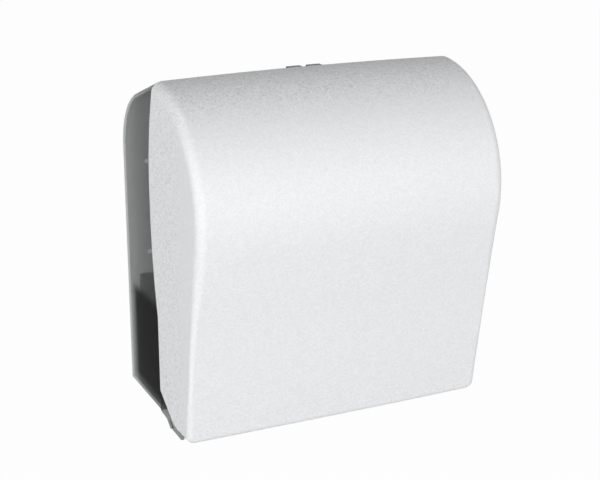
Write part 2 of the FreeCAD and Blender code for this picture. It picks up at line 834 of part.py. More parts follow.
def base_tray():
    thick = s.tray_thickness
    floor = s.floor_height
    inner = floor + s.body_wall
    wide = HALF - s.cover_wall - s.side_clearance
    dip = s.cover_bottom - 1.0
    plate = prism("tray_plate", -wide, 2 * wide, [
        (s.tray_back_depth, inner),
        (s.tray_back_depth, inner + thick),
        (s.tray_step_depth - thick, inner + thick),
        (s.tray_nose_depth, dip + thick),
        (s.tray_front_depth, dip + thick),
        (s.tray_front_depth, dip),
        (s.tray_nose_depth, dip),
        (s.tray_step_depth, s.floor_height - thick / 2),
        (s.lower_parting_depth + s.side_clearance, floor),
        (s.lower_parting_depth + s.side_clearance, inner)])
    pieces = [plate]
    boss_bottom = s.hinge_height - s.hinge_boss_radius - 1.0
    cheek = [(s.lower_parting_depth + s.side_clearance, floor),
             (s.lower_parting_depth + s.side_clearance, s.cheek_height),
             (s.hinge_depth - 3 * s.hinge_boss_radius, s.cheek_height),
             (s.hinge_depth - s.hinge_boss_radius - thick, s.hinge_height),
             (s.hinge_depth - s.hinge_boss_radius - thick, boss_bottom),
             (s.tray_front_depth, dip + thick / 2),
             (s.tray_front_depth, dip),
             (s.tray_front_depth - thick, dip - s.cheek_drop),
             (s.tray_nose_depth - 2 * thick, dip - s.cheek_drop),
             (s.tray_step_depth - thick, s.floor_height - thick / 2)]
    wing = tray_wing(dip)
    ear_x = HALF - s.cover_wall - s.hinge_boss_length - s.side_clearance
    ear = [(s.hinge_depth - s.hinge_boss_radius - 3 * thick, dip + thick / 2),
           (s.hinge_depth - s.hinge_boss_radius, s.hinge_height + s.hinge_boss_radius),
           (s.hinge_depth + s.hinge_boss_radius / 2, s.hinge_height + s.hinge_boss_radius),
           (s.hinge_depth + s.hinge_boss_radius - 1.0, dip + thick / 2)]
    hole = (s.hinge_pin_radius, s.hinge_depth, s.hinge_height)
    for side, sign in (("right", 1), ("left", -1)):
        cheek_x = wide - s.cheek_width if sign > 0 else -wide
        pieces.append(prism("tray_cheek_" + side, cheek_x, s.cheek_width, cheek))
        wing_x = wide - s.cheek_width / 2 if sign > 0 else -HALF
        pieces.append(prism("tray_wing_" + side, wing_x, HALF - wide + s.cheek_width / 2, wing))
        start = ear_x - s.ear_width if sign > 0 else -ear_x
        pieces.append(prism("tray_ear_" + side, start, s.ear_width, ear, [hole]))
    slot = box("lever_slot", lever_start() - (s.lever_slot_width - s.lever_width) / 2, s.lever_slot_depth,
               dip - thick, s.lever_slot_width, s.tray_front_depth, 4 * s.cheek_height / 3)
    holes = [post(f"tray_hole{index}", s.screw_radius + s.running_clearance, x, tray_screw_depth(),
                  floor, s.cheek_height) for index, x in enumerate(tray_screw_places())]
    tongue = HALF - s.body_edge_round - s.side_clearance
    behind = s.lower_parting_depth + s.side_clearance - s.tray_back_depth
    sides = [box("tray_notch_right", tongue, s.tray_back_depth, floor, wide, behind, s.cheek_height),
             box("tray_notch_left", -tongue - wide, s.tray_back_depth, floor, wide, behind, s.cheek_height)]
    node("base_tray", cut("base_tray", fuse("tray_solid", pieces), [slot] + sides + holes))


def tray_screws():
    made = []
    top = s.floor_height + s.body_wall + s.tray_thickness
    for index, x in enumerate(tray_screw_places()):
        shank = post(f"tray_shank{index}", s.screw_radius, x, tray_screw_depth(), s.floor_height,
                     top - s.floor_height + s.screw_head_height / 2)
        head = post(f"tray_head{index}", s.screw_head_radius, x, tray_screw_depth(), top,
                    s.screw_head_height)
        made.append(fuse(f"tray_screw{index}", [shank, head]))
    node("tray_screws", group("tray_screws", made))


def hinge_pins():
    end = HALF - s.cover_wall - s.running_clearance
    pins = [rod("hinge_pin_right", s.hinge_pin_radius, end - s.hinge_pin_length, s.hinge_pin_length,
                s.hinge_depth, s.hinge_height),
            rod("hinge_pin_left", s.hinge_pin_radius, -end, s.hinge_pin_length,
                s.hinge_depth, s.hinge_height)]
    node("hinge_pins", group("hinge_pins", pins))


# Feed module frame


def rod_places():
    return [(s.rear_rod_depth, s.rear_rod_height), (s.front_rod_depth, s.front_rod_height)]


def pinch_axis():
    reach = s.drum_radius + s.grip_thickness + s.pinch_gap + s.pinch_radius
    return around(reach, s.pinch_angle)


def pinch_pivot():
    roller = pinch_axis()
    return around(s.pinch_arm_reach, s.pinch_angle + 90.0, roller[0], roller[1])


def chassis_screw_spots():
    x = s.plate_inner_x - s.flange_width / 2
    heights = (s.plate_bottom + s.flange_width, s.plate_top - s.flange_width)
    return [(side * x, height) for side in (-1, 1) for height in heights]


def side_plates():
    corners = [(s.body_wall, s.plate_bottom),
               (s.body_wall, s.plate_top),
               (s.plate_front - s.plate_chamfer, s.plate_top),
               (s.plate_front, s.plate_top - s.plate_chamfer),
               (s.plate_front, s.plate_bottom + s.plate_chamfer),
               (s.plate_front - s.plate_chamfer / 2, s.plate_bottom)]
    holes = [(s.bush_radius, s.drum_depth, s.drum_height),
             (s.pinch_core_radius, *pinch_pivot())]
    holes += [(s.stud_radius, *spot) for spot in rod_places()]
    plate = prism("plate_sheet", s.plate_inner_x, s.plate_thickness, corners, holes)
    flange = box("plate_flange", s.plate_inner_x - s.flange_width, s.body_wall, s.plate_bottom,
                 s.flange_width, s.plate_thickness, s.plate_top - s.plate_bottom)
    holes = [stub(f"flange_hole{index}", s.screw_radius + s.running_clearance, x, 0.0,
                  4 * s.plate_thickness, height)
             for index, (x, height) in enumerate(chassis_screw_spots()) if x > 0]
    right = node("side_plate_right", cut("side_plate_right", fuse("plate_solid", [plate, flange]), holes))
    node("side_plate_left", mirror("side_plate_left", right))


def wall_side_screw(name, x, height, base):
    """A screw from a flange's face back into the rear wall."""
    shank = stub(name + "_shank", s.screw_radius, x, 0.0, base + s.screw_head_height / 2, height)
    head = stub(name + "_head", s.screw_head_radius, x, base, s.screw_head_height, height)
    return fuse(name, [shank, head])


def chassis_screws():
    base = s.body_wall + s.plate_thickness
    node("chassis_screws", group("chassis_screws", [
        wall_side_screw(f"chassis_screw{index}", x, height, base)
        for index, (x, height) in enumerate(chassis_screw_spots())]))


def tie_rods():
    rods, nuts = [], []
    outer = s.plate_inner_x + s.plate_thickness
    for index, (depth, height) in enumerate(rod_places()):
        bar = rod(f"rod_bar{index}", s.tie_rod_radius, -s.plate_inner_x, 2 * s.plate_inner_x, depth, height)
        stud = rod(f"rod_stud{index}", s.stud_radius, -outer - s.nut_thickness,
                   2 * (outer + s.nut_thickness), depth, height)
        rods.append(fuse(f"tie_rod{index}", [bar, stud]))
        for side, x in (("right", outer), ("left", -outer - s.nut_thickness)):
            blank = doc.addObject("Part::Prism", f"nut_blank{index}_{side}")
            blank.Polygon = 6
            blank.Placement = FreeCAD.Placement(FreeCAD.Vector(), ALONG_X)
            bind(blank, "Circumradius", s.nut_radius)
            bind(blank, "Height", s.nut_thickness)
            place(blank, x, -depth, height)
            bore = rod(f"nut_bore{index}_{side}", s.stud_radius, x - 1.0, s.nut_thickness + 2.0,
                       depth, height)
            nuts.append(cut(f"nut{index}_{side}", blank, [bore]))
    node("tie_rods", group("tie_rods", rods))
    node("tie_nuts", group("tie_nuts", nuts))


def drum_bushes():
    """Flanged bearing rings in the side plates."""
    rings = []
    outer = s.bush_radius - TOUCH
    for side, start in (("right", s.plate_inner_x), ("left", -s.plate_inner_x - s.plate_thickness)):
        sleeve = rod("bush_sleeve_" + side, outer, start, s.plate_thickness, s.drum_depth, s.drum_height)
        bore = rod("bush_hole_" + side, s.shaft_radius + s.running_clearance, start - 1.0,
                   s.plate_thickness + 2.0, s.drum_depth, s.drum_height)
        rings.append(cut("drum_bush_" + side, sleeve, [bore]))
    node("drum_bushes", group("drum_bushes", rings))


def gear_housings():
    """A deep cap over each side plate, open towards the plate."""
    start = s.plate_inner_x + s.plate_thickness
    corners = [(s.housing_back, s.housing_bottom), (s.housing_back, s.housing_top),
               (s.housing_front, s.housing_top), (s.housing_front, s.housing_bottom)]
    wall = s.housing_wall
    inner = [(s.housing_back + wall, s.housing_bottom + wall),
             (s.housing_back + wall, s.housing_top - wall),
             (s.housing_front - wall, s.housing_top - wall),
             (s.housing_front - wall, s.housing_bottom + wall)]
    depth = s.housing_width - wall
    right = prism("housing_block", start, s.housing_width, corners, (), [(s.housing_round, corners)])
    hollow = prism("housing_hollow", start - 1.0, depth + 1.0, inner, (), [(s.housing_round - wall, inner)])
    margin = s.wheel_groove_radius
    window = box("wheel_window", wheel_start() - margin, s.housing_front - 2 * wall,
                 s.drum_height - s.wheel_window_half, s.wheel_width + 2 * margin, 4 * wall,
                 2 * s.wheel_window_half)
    slot_bottom = s.housing_bottom - 1.0
    slot = box("housing_slot", start - 0.5, s.lever_slot_depth - margin, slot_bottom, s.lever_width + margin,
               s.housing_front, s.drum_height - s.lever_hub_radius - slot_bottom)
    bare = cut("housing_cap", right, [hollow])
    node("gear_housing_left", mirror("gear_housing_left", bare))
    node("gear_housing_right", cut("gear_housing_right", bare, [window, slot]))


def guides():
    """The curved guide round the front of the drum and the chute below it."""
    near = s.drum_radius + s.guide_gap
    far = near + s.guide_thickness
    low, high = s.guide_bottom_angle, s.guide_top_angle
    front = prism("front_guide", -s.plate_inner_x, 2 * s.plate_inner_x, [
        (*around(far, high), far),
        around(far, low),
        (*around(near, low), -near),
        around(near, high)])
    node("front_guide", front)
    foot = s.cover_bottom - 1.0 + s.tray_thickness
    thick = s.guide_thickness
    chute = prism("outlet_chute", -s.plate_inner_x, 2 * s.plate_inner_x, [
        (s.chute_foot_depth - thick, foot),
        (s.chute_top_depth - thick, s.chute_top_height),
        (s.chute_top_depth + thick / 2, s.chute_top_height + thick / 2),
        (s.chute_foot_depth + thick / 2, foot)])
    node("outlet_chute", chute)


# Drum


def drum():
    length = s.drum_length
    start = -length / 2
    spot = (s.drum_depth, s.drum_height)
    window = wedge("drum_window", s.drum_radius + s.grip_thickness + 1.0, s.knife_length + 4.0)
    tube = rod("drum_outside", s.drum_radius, start, length, *spot)
    bore = rod("drum_inside", s.drum_radius - s.drum_wall, start - 1.0, length + 2.0, *spot)
    node("drum_shell", cut("drum_shell", tube, [bore, window]))
    ends = []
    hole = s.shaft_radius
    knife_pin = around(s.knife_pivot_radius, s.knife_pivot_angle)
    for side, x in (("right", length / 2 - s.drum_end_thickness), ("left", start)):
        disc = rod("end_disc_" + side, s.drum_radius - s.drum_wall, x, s.drum_end_thickness, *spot)
        shaft_hole = rod("end_hole_" + side, hole, x - 1.0, s.drum_end_thickness + 2.0, *spot)
        pin_hole = rod("end_pin_hole_" + side, s.knife_pin_radius + s.running_clearance, x - 1.0,
                       s.drum_end_thickness + 2.0, *knife_pin)
        ends.append(cut("drum_end_" + side, disc, [shaft_hole, pin_hole]))
    node("drum_ends", group("drum_ends", ends))
    grips = []
    gap = (length - s.grip_count * s.grip_width) / s.grip_count
    for index in range(int(s.grip_count)):
        x = start + gap / 2 + index * (s.grip_width + gap)
        ring = rod(f"grip_outside{index}", s.drum_radius + s.grip_thickness, x, s.grip_width, *spot)
        inside = rod(f"grip_inside{index}", s.drum_radius + TOUCH, x - 1.0, s.grip_width + 2.0, *spot)
        opening = wedge(f"grip_window{index}", s.drum_radius + s.grip_thickness + 1.0, s.knife_length + 4.0)
        grips.append(cut(f"grip_band{index}", ring, [inside, opening]))
    node("grip_bands", group("grip_bands", grips))
    left = -(crank_start() + s.crank_width)
    node("drum_shaft", rod("drum_shaft", s.shaft_radius, left, wheel_start() + s.wheel_width - left, *spot))


def wedge(name, radius, length):
    """A slice of the drum's round, along X, where the knife comes out."""
    made = doc.addObject("Part::Cylinder", name)
    start = FreeCAD.Rotation(FACE_UP, 270 - float(s.window_start + s.window_sweep))
    made.Placement = FreeCAD.Placement(FreeCAD.Vector(), ALONG_X * start)
    bind(made, "Radius", radius)
    bind(made, "Height", length)
    bind(made, "Angle", s.window_sweep)
    return place(made, -length / 2, -s.drum_depth, s.drum_height)


# Knife


def knife_tip():
    return around(s.knife_rest_reach, s.window_start + s.window_sweep - s.tooth_pitch)


def knife():
    """A carrier that swings inside the drum, with the blade on its front edge."""
    pivot = around(s.knife_pivot_radius, s.knife_pivot_angle)
    tip = knife_tip()
    run = (tip[0] - pivot[0], tip[1] - pivot[1])
    reach = root(run[0] * run[0] + run[1] * run[1])
    along = (run[0] / reach, run[1] / reach)
    across = (-along[1], along[0])
    half = s.carrier_thickness / 2

    def spot(forward, sideways):
        return (pivot[0] + along[0] * forward + across[0] * sideways,
                pivot[1] + along[1] * forward + across[1] * sideways)

    seat = reach - s.blade_width / 2
    carrier = prism("carrier_bar", -s.knife_length / 2, s.knife_length, sorted_clockwise([
        spot(-half, -half), spot(seat, -half), spot(seat, half - s.blade_thickness),
        spot(-half, half - s.blade_thickness)]))
    pins = rod("carrier_pins", s.knife_pin_radius - TOUCH, -s.drum_length / 2 + s.clip_thickness,
               s.drum_length - 2 * s.clip_thickness, *pivot)
    node("knife_carrier", fuse("knife_carrier", [carrier, pins]))
    node("knife_blade", blade(spot, reach, half))


def blade(spot, reach, half):
    """A thin toothed blade, cut from strip by a loop of teeth."""
    teeth = int(s.knife_length // s.tooth_pitch)
    start = -teeth * s.tooth_pitch / 2
    base, root_line = reach - s.blade_width, reach - s.tooth_depth
    side = float(half - s.blade_thickness)
    points = []

    def corner(x, forward):
        depth, height = spot(forward, side)
        return FreeCAD.Vector(float(x), -float(depth), float(height - s.mount_height))

    points.append(corner(start, base))
    for index in range(teeth):
        points.append(corner(start + index * s.tooth_pitch, root_line))
        points.append(corner(start + (index + 0.5) * s.tooth_pitch, reach))
    points.append(corner(start + teeth * s.tooth_pitch, root_line))
    points.append(corner(start + teeth * s.tooth_pitch, base))
    face = Part.Face(Part.makePolygon(points + points[:1]))
    near, far = spot(0.0, 0.0), spot(0.0, s.blade_thickness)
    lift = FreeCAD.Vector(0, -float(far[0] - near[0]), float(far[1] - near[1]))
    made = doc.addObject("Part::Feature", "knife_blade")
    made.Shape = face.extrude(lift)
    return made


# Drive at the drum's ends


def lever_start():
    return s.plate_inner_x + s.plate_thickness + s.hub_gap + s.side_clearance


def ratchet_start():
    return lever_start() + s.lever_width + s.hub_gap


def wheel_start():
    return ratchet_start() + s.ratchet_width + 2.0


def crank_start():
    return s.plate_inner_x + s.plate_thickness + s.nut_thickness


def ratchet_wheel():
    """Saw teeth that let the drum turn one way."""
    step = 360.0 / s.ratchet_teeth
    corners = []
    for index in range(int(s.ratchet_teeth)):
        angle = 90.0 - index * step
        corners.append(around(s.ratchet_radius, angle))
        corners.append(around(s.ratchet_radius - s.ratchet_tooth, angle - 2.0))
    wheel = prism("ratchet_wheel", ratchet_start(), s.ratchet_width, corners,
                  [(s.shaft_radius, s.drum_depth, s.drum_height)])
    node("ratchet_wheel", wheel)


def thumb_wheel():
    """The fluted wheel that a person turns to thread the paper."""
    spot = (s.drum_depth, s.drum_height)
    start = wheel_start()
    blank = rod("wheel_blank", s.wheel_radius, start, s.wheel_width, *spot)
    tools = [rod("wheel_bore", s.shaft_radius, start - 1.0, s.wheel_width + 2.0, *spot),
             cut("wheel_dish", rod("dish_outside", s.wheel_radius - 2 * s.housing_wall,
                                   start + s.wheel_width / 2, s.wheel_width, *spot),
                 [rod("dish_inside", 2 * s.shaft_radius, start, 2 * s.wheel_width, *spot)])]
    step = 360.0 / s.wheel_grooves
    for index in range(int(s.wheel_grooves)):
        groove = around(s.wheel_radius + s.wheel_groove_radius / 2, index * step)
        tools.append(rod(f"wheel_groove{index}", s.wheel_groove_radius, start - 1.0,
                         s.wheel_width + 2.0, *groove))
    node("thumb_wheel", cut("thumb_wheel", blank, tools))


def crank():
    """A disc with an offset pin, which the return spring pulls on."""
    spot = (s.drum_depth, s.drum_height)
    left = -(crank_start() + s.crank_width)
    disc = rod("crank_disc", s.crank_radius, left, s.crank_width, *spot)
    hole = rod("crank_hole", s.shaft_radius, left - 1.0, s.crank_width + 2.0, *spot)
    pin_spot = crank_pin_spot()
    seat = rod("crank_pin_hole", s.crank_pin_radius, left - 1.0, s.crank_width + 2.0, *pin_spot)
    node("crank_disc", cut("crank", disc, [hole, seat]))
    node("crank_pin", rod("crank_pin", s.crank_pin_radius, left - 3 * s.spring_radius,
                          s.crank_width + 3 * s.spring_radius, *pin_spot))


def crank_pin_spot():
    return around(s.crank_throw, 180.0)


def return_spring():
    """The coil spring from the crank's pin to a post on the left side plate."""
    x = -(crank_start() + s.crank_width + 1.5 * s.spring_radius)
    pin = crank_pin_spot()
    start = FreeCAD.Vector(0, -float(pin[0]), float(pin[1] - s.mount_height))
    end = FreeCAD.Vector(0, -float(s.spring_post_depth), float(s.spring_post_height - s.mount_height))
    run = end - start
    along = FreeCAD.Vector(run).normalize()
    clear = float(s.crank_pin_radius + s.button_gap + s.spring_wire / 2)
    length = run.Length - 2 * clear
    made = doc.addObject("Part::Feature", "return_spring")
    made.Shape = coil(float(s.spring_radius), float(s.spring_wire), length, int(s.spring_turns))
    base = start + along * clear + FreeCAD.Vector(float(x), 0, 0)
    made.Placement = FreeCAD.Placement(base, FreeCAD.Rotation(FACE_UP, along))
    node("return_spring", made)
    post_start = s.plate_inner_x + s.plate_thickness
    node("spring_post", rod("spring_post", s.crank_pin_radius, x - s.spring_radius,
                            -post_start - (x - s.spring_radius), s.spring_post_depth, s.spring_post_height))


def coil(radius, wire, length, turns):
    """An open coil of round wire along Z, as one unbroken tube."""
    steps = 4 * turns
    middle = radius - wire / 2

    def spot(step):
        angle = math.pi / 2 * step
        return FreeCAD.Vector(middle * math.cos(angle), middle * math.sin(angle), length * step / steps)

    edges = [Part.Arc(spot(step), spot(step + 0.5), spot(step + 1)).toShape() for step in range(steps)]
    path = Part.Wire(edges)
    first = edges[0].tangentAt(edges[0].FirstParameter)
    section = Part.Wire(Part.makeCircle(wire / 2, spot(0), first))
    pipe = path.makePipeShell([section], True, True)
    return pipe


def feed_lever():
    """A hand lever beside the paper outlet, hung on the drum's shaft."""
    start = lever_start()
    spot = (s.drum_depth, s.drum_height)
    hub = rod("lever_hub", s.lever_hub_radius, start, s.lever_width, *spot)
    run = (s.lever_tip_depth - s.drum_depth, s.lever_tip_height - s.drum_height)
    reach = root(run[0] * run[0] + run[1] * run[1])
    along = (run[0] / reach, run[1] / reach)
    half = s.lever_arm_width / 2

    def at(forward, sideways):
        return (s.drum_depth + along[0] * forward - along[1] * sideways,
                s.drum_height + along[1] * forward + along[0] * sideways)

    arm = prism("lever_arm", start, s.lever_width, [
        at(reach - half, -half), at(reach, 0.0), at(reach - half, half), at(0.0, half), at(0.0, -half)])
    ear = prism("lever_ear", start, s.lever_width, [
        around(s.lever_hub_radius - 3.0, s.feed_pawl_angle + 30.0),
        around(s.pawl_pin_reach + 2 * s.pawl_pin_radius, s.feed_pawl_angle + 8.0),
        around(s.pawl_pin_reach + 2 * s.pawl_pin_radius, s.feed_pawl_angle - 8.0),
        around(s.lever_hub_radius - 3.0, s.feed_pawl_angle - 30.0)])
    pin_spot = around(s.pawl_pin_reach, s.feed_pawl_angle)
    pin = rod("pawl_pin", s.pawl_pin_radius, start, s.lever_width + s.hub_gap + s.ratchet_width, *pin_spot)
    bore = rod("lever_bore", s.shaft_radius + s.running_clearance, start - 1.0, s.lever_width + 2.0, *spot)
    node("feed_lever", cut("feed_lever", fuse("lever_solid", [hub, arm, ear, pin]), [bore]))


def pawl(label, angle, start):
    """A small finger from its pin to the ratchet's rim."""
    pivot = around(s.pawl_pin_reach, angle)
    rim = s.ratchet_radius + s.pawl_clearance
    body = prism(label + "_finger", start, s.ratchet_width - s.side_clearance, [
        around(s.pawl_pin_reach + 3.0, angle + 3.0), around(s.pawl_pin_reach + 3.0, angle - 8.0),
        around(rim + 2.0, angle - 38.0), around(rim, angle - 38.0), around(s.pawl_pin_reach - 4.0, angle)])
    eye = rod(label + "_eye", s.pawl_pin_radius + 2.0, start, s.ratchet_width - s.side_clearance, *pivot)
    bore = rod(label + "_bore", s.pawl_pin_radius + s.running_clearance, start - 1.0,
               s.ratchet_width + 2.0, *pivot)
    return cut(label, fuse(label + "_solid", [body, eye]), [bore])


def pawls():
    node("feed_pawl", pawl("feed_pawl", s.feed_pawl_angle, ratchet_start()))
    node("check_pawl", pawl("check_pawl", s.check_pawl_angle, ratchet_start()))
    spot = around(s.pawl_pin_reach, s.check_pawl_angle)
    start = s.plate_inner_x + s.plate_thickness
    node("check_pin", rod("check_pin", s.pawl_pin_radius, start,
                          ratchet_start() + s.ratchet_width - start, *spot))


# Pinch roller


def pinch():
    roller, pivot = pinch_axis(), pinch_pivot()
    half = s.pinch_length / 2
    node("pinch_shaft", rod("pinch_shaft", s.pinch_core_radius, -s.plate_inner_x - s.plate_thickness,
                            2 * (s.plate_inner_x + s.plate_thickness), *pivot))
    start = half + 4.0
    width = s.pinch_arm_width
    eye = s.pinch_core_radius + 2.0
    lift = s.pinch_angle
    corners = [around(eye, lift + 180.0, *pivot), around(eye, lift + 180.0, *roller),
               around(eye, lift, *roller), around(eye, lift, *pivot)]
    cheeks = []
    for side, x in (("right", start), ("left", -start - width)):
        web = prism("pinch_web_" + side, x, width, sorted_clockwise(corners))
        ends = [rod(f"pinch_eye_{side}{index}", eye, x, width, *spot)
                for index, spot in enumerate((roller, pivot))]
        holes = [rod(f"pinch_hole_{side}{index}", s.pinch_core_radius + s.running_clearance, x - 1.0,
                     width + 2.0, *spot) for index, spot in enumerate((roller, pivot))]
        cheeks.append(cut("pinch_cheek_" + side, fuse("pinch_arm_" + side, [web] + ends), holes))
    middle = ((roller[0] + pivot[0]) / 2, (roller[1] + pivot[1]) / 2)
    bar_spot = around(s.pinch_arm_half_height, lift, *middle)
    bar = rod("pinch_bar", s.pinch_core_radius, -start, 2 * start, *bar_spot)
    node("pinch_arm", fuse("pinch_arm", cheeks + [bar]))
    rubber = rod("roller_outside", s.pinch_radius, -half, s.pinch_length, *roller)
    bore = rod("roller_inside", s.pinch_core_radius, -half - 1.0, s.pinch_length + 2.0, *roller)
    node("pinch_roller", cut("pinch_roller", rubber, [bore]))
    node("roller_core", rod("roller_core", s.pinch_core_radius, -start - width, 2 * (start + width),
                            *roller))


def sorted_clockwise(corners):
    """The same corners, clockwise about their middle."""
    depth = sum(float(corner[0]) for corner in corners) / len(corners)
    height = sum(float(corner[1]) for corner in corners) / len(corners)
    return sorted(corners, key=lambda corner: -math.atan2(corner[1] - height, corner[0] - depth))


# Roll arms


def bracket_screw_spots():
    x = s.bracket_inner_x + s.bracket_width / 2
    heights = (s.cover_arc_height - s.bracket_half_height - s.lug_thickness,
               s.cover_arc_height + s.bracket_half_height + s.lug_thickness)
    return [(side * x, height) for side in (-1, 1) for height in heights]


def arm_bracket():
    """A wall bracket with two lugs for the roll arm's pin."""
    height = s.cover_arc_height - s.bracket_half_height - 2 * s.lug_thickness
    tall = 2 * s.bracket_half_height + 4 * s.lug_thickness
    back = box("bracket_back", s.bracket_inner_x, s.body_wall, height,
               s.bracket_width, s.bracket_plate, tall)
    lugs, holes = [], []
    front = s.body_wall + s.bracket_plate - 1.0
    for index, low in enumerate((s.cover_arc_height - s.bracket_half_height,
                                 s.cover_arc_height + s.bracket_half_height - s.lug_thickness)):
        lugs.append(box(f"bracket_lug{index}", s.arm_pin_x - s.arm_barrel_radius, front, low,
                        2 * s.arm_barrel_radius, s.lug_reach, s.lug_thickness))
        holes.append(post(f"lug_hole{index}", s.arm_pin_radius, s.arm_pin_x, s.arm_pin_depth,
                          low - 1.0, s.lug_thickness + 2.0))
    for index, (x, spot_height) in enumerate(bracket_screw_spots()):
        if x > 0:
            holes.append(stub(f"bracket_screw_hole{index}", s.screw_radius + s.running_clearance, x, 0.0,
                              4 * s.bracket_plate, spot_height))
    right = node("arm_bracket_right", cut("arm_bracket_right", fuse("bracket_solid", [back] + lugs), holes))
    node("arm_bracket_left", mirror("arm_bracket_left", right))
    base = s.body_wall + s.bracket_plate
    node("bracket_screws", group("bracket_screws", [
        wall_side_screw(f"bracket_screw{index}", x, spot_height, base)
        for index, (x, spot_height) in enumerate(bracket_screw_spots())]))
    pins = [post(f"arm_pin{index}", s.arm_pin_radius, sign * s.arm_pin_x, s.arm_pin_depth,
                 s.cover_arc_height - s.bracket_half_height - 1.0, 2 * s.bracket_half_height + 2.0)
            for index, sign in enumerate((-1, 1))]
    node("arm_pins", group("arm_pins", pins))


def roll_arm():
    """A flat arm from its barrel on the pin to the axle that carries the hub."""
    axis = s.cover_arc_height
    barrel_half = s.bracket_half_height - s.lug_thickness - s.hub_gap
    inner = s.arm_pin_x - s.arm_thickness / 2
    barrel = post("arm_barrel", s.arm_barrel_radius, s.arm_pin_x, s.arm_pin_depth,
                  axis - barrel_half, 2 * barrel_half)
    reach = s.cover_arc_depth - s.arm_pin_depth
    bar = box("arm_bar", inner, s.arm_pin_depth, axis - s.arm_half_height, s.arm_thickness, reach,
              2 * s.arm_half_height)
    boss = rod("arm_boss", s.arm_boss_radius, inner, s.arm_thickness, s.cover_arc_depth, axis)
    axle_start = inner - s.hub_gap - s.hub_length - s.hub_flange - s.hub_gap - s.clip_thickness
    axle = rod("arm_axle", s.axle_radius, axle_start, inner + 1.0 - axle_start, s.cover_arc_depth, axis)
    bore = post("barrel_bore", s.arm_pin_radius + s.running_clearance, s.arm_pin_x, s.arm_pin_depth,
                axis - 2 * barrel_half, 4 * barrel_half)
    solid = fuse("arm_solid", [barrel, bar, boss, axle])
    right = node("roll_arm_right", cut("roll_arm_right", solid, [bore]))
    node("roll_arm_left", mirror("roll_arm_left", right))
    flange_start = inner - s.hub_gap - s.hub_flange
    nose_start = flange_start - s.hub_length
    flange = rod("hub_flange_disc", s.hub_flange_radius, flange_start, s.hub_flange,
                 s.cover_arc_depth, axis)
    nose = doc.addObject("Part::Cone", "hub_nose")
    nose.Placement = FreeCAD.Placement(FreeCAD.Vector(), ALONG_X)
    bind(nose, "Radius1", s.hub_nose_radius)
    bind(nose, "Radius2", s.hub_radius)
    bind(nose, "Height", s.hub_length)
    place(nose, nose_start, -s.cover_arc_depth, axis)
    hub_bore = rod("hub_bore", s.axle_radius + s.running_clearance, nose_start - 1.0,
                   s.hub_length + s.hub_flange + 2.0, s.cover_arc_depth, axis)
    hub = node("hub_right", cut("hub_right", fuse("hub_solid", [flange, nose]), [hub_bore]))
    node("hub_left", mirror("hub_left", hub))
    ring = rod("clip_ring", s.clip_radius, axle_start, s.clip_thickness, s.cover_arc_depth, axis)
    clip_bore = rod("clip_bore", s.axle_radius, axle_start - 1.0, s.clip_thickness + 2.0,
                    s.cover_arc_depth, axis)
    clip = node("hub_clip_right", cut("hub_clip_right", ring, [clip_bore]))
    node("hub_clip_left", mirror("hub_clip_left", clip))


# Latch


def latch():
    """A sprung bar with two buttons in the top, in its own housing."""
    wide = s.latch_half_width
    wall = s.latch_wall
    top = top_height(s.latch_back_depth, s.body_wall)
    top_front = top_height(s.latch_front_depth + s.latch_wall, s.body_wall)
    front = s.latch_front_depth + s.latch_wall
    block = prism("latch_block", -wide, 2 * wide, [
        (s.latch_back_depth, s.latch_bottom), (s.latch_back_depth, top),
        (front, top_front), (front, s.latch_bottom)])
    bar_wide = wide - 2 * wall
    room = box("latch_room", -bar_wide - s.button_gap, s.button_back_depth - s.button_gap,
               s.latch_bottom + wall, 2 * (bar_wide + s.button_gap), s.cabinet_width,
               s.bar_bottom + s.bar_height + s.button_gap - s.latch_bottom - wall)
    button_top = top_height(s.latch_front_depth) + s.latch_travel
    slots = []
    for side, x in (("right", s.button_inner_x), ("left", -s.button_inner_x - s.button_width)):
        slots.append(box("button_slot_" + side, x - s.button_gap, s.button_back_depth - s.button_gap,
                         s.bar_bottom, s.button_width + 2 * s.button_gap,
                         s.latch_front_depth - s.button_back_depth + 2 * s.button_gap, s.cabinet_width))
    node("latch_housing", cut("latch_housing", block, [room] + slots))
    pieces = [box("latch_bar", -bar_wide, s.button_back_depth, s.bar_bottom, 2 * bar_wide,
                  s.latch_front_depth - s.button_back_depth, s.bar_height)]
    for side, x in (("right", s.button_inner_x), ("left", -s.button_inner_x - s.button_width)):
        corners = [(s.button_back_depth, s.bar_bottom + 1.0), (s.button_back_depth, button_top),
                   (s.latch_front_depth, button_top), (s.latch_front_depth, s.bar_bottom + 1.0)]
        pieces.append(prism("button_" + side, x, s.button_width, corners, (),
                            [(s.latch_wall / 2, corners[1:3])]))
    nose_half = 2 * s.catch_half_width / 3
    nose = box("latch_nose", -nose_half, s.latch_front_depth - 1.0, s.bar_bottom + 1.0,
               2 * nose_half, s.latch_wall + 1.5, s.bar_height - 2.0)
    node("latch_release", fuse("latch_release", pieces + [nose]))
    room_floor = s.latch_bottom + wall
    spring = doc.addObject("Part::Feature", "latch_spring")
    spring.Shape = coil(float(s.spring_radius), float(s.spring_wire),
                        float(s.bar_bottom - room_floor - s.spring_wire - 2 * s.button_gap),
                        int(s.latch_spring_turns))
    spring.Placement = FreeCAD.Placement(
        FreeCAD.Vector(0, -float((s.button_back_depth + s.latch_front_depth) / 2),
                       float(room_floor - s.mount_height + s.spring_wire / 2 + s.button_gap)),
        FreeCAD.Rotation())
    node("latch_spring", spring)


rear_body()
cover_shell()
hinge_bushes()
cover_catch()
base_tray()
tray_screws()
hinge_pins()
side_plates()
chassis_screws()
tie_rods()
drum_bushes()
gear_housings()
guides()
drum()
knife()
ratchet_wheel()
thumb_wheel()
crank()
return_spring()
feed_lever()
pawls()
pinch()
arm_bracket()
roll_arm()
latch()
doc.recompute()

